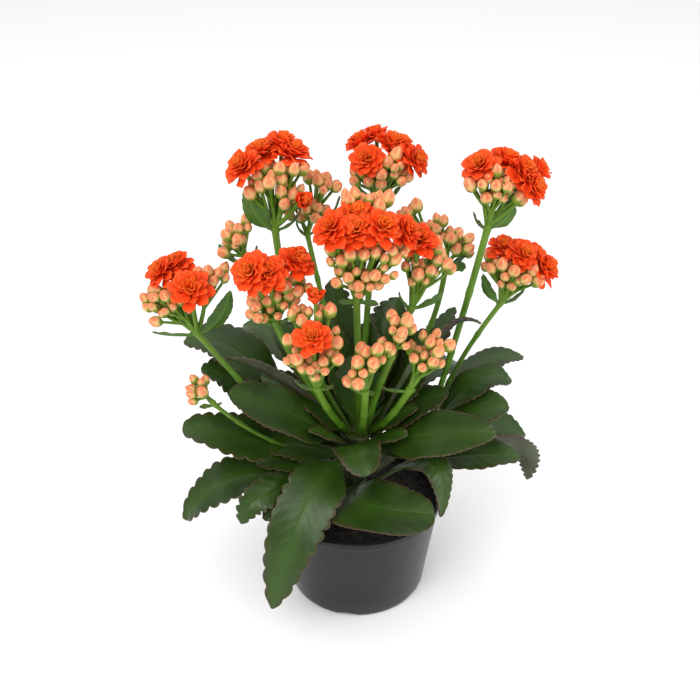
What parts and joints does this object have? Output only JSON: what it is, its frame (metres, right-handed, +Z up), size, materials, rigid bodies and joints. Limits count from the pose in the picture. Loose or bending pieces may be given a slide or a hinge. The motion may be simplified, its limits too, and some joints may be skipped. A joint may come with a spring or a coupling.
{
  "type": "potted kalanchoe",
  "caption": "Potted kalanchoe: a round nursery pot of soil, fleshy scalloped leaves and upright stems with branched heads of double blossoms and buds.",
  "frame": {"origin": "centre of the pot's underside, on the face it stands on", "axes": "+Z up along the pot's axis; -Y to the front, the side with the hanging leaf; +X to the right seen from the front"},
  "size_m": [0.2007, 0.1475, 0.25],
  "materials": {
    "pot_plastic": "thin moulded plastic, satin, slightly mottled",
    "peat": "dark crumbly potting soil, matte",
    "leaf": "smooth waxy dark green with a red-brown margin",
    "stem": "smooth bright green, satin",
    "bud": "matte peach pink with a green base",
    "petal": "soft matte orange red"
  },
  "bodies": {
    "root": {"pot": "pot_plastic", "soil": "peat", "crown": "stem", "leaf_front_left": "leaf", "leaf_front_small": "leaf", "leaf_front_right": "leaf", "leaf_front_hanging": "leaf", "leaf_front_rim": "leaf", "leaf_left_wide": "leaf", "leaf_left_drooping": "leaf", "leaf_left_narrow": "leaf", "leaf_left_hidden": "leaf", "leaf_left_high": "leaf", "leaf_left_middle": "leaf", "leaf_right_upper": "leaf", "leaf_right_glossy": "leaf", "leaf_right_far": "leaf", "leaf_right_low": "leaf", "leaf_right_side": "leaf", "leaf_right_tail": "leaf", "leaf_rim_right": "leaf", "leaf_back_tall": "leaf", "leaf_back_middle": "leaf", "leaf_back_right": "leaf", "leaf_back_flat": "leaf", "leaf_rear_left": "leaf", "leaf_rear_centre": "leaf", "leaf_rear_right": "leaf", "stem_top_left": "stem", "head_top_left": "petal", "stem_back_left": "stem", "head_back_left": "bud", "stem_top_centre": "stem", "head_top_centre": "petal", "stem_top_right": "stem", "head_top_right": "petal", "stem_right": "stem", "head_right": "petal", "stem_centre": "stem", "head_centre": "petal", "stem_centre_right": "stem", "head_centre_right": "petal", "stem_back_right": "stem", "head_back_right": "bud", "stem_left": "stem", "head_left": "petal", "stem_upper_left": "stem", "head_upper_left": "bud", "stem_centre_left": "stem", "head_centre_left": "petal", "stem_front_left": "stem", "head_front_left": "petal", "stem_front_centre": "stem", "head_front_centre": "bud", "stem_front_middle": "stem", "head_front_middle": "bud", "stem_front_right": "stem", "head_front_right": "bud", "stem_low_left": "stem", "head_low_left": "bud"}
  },
  "joints": []
}
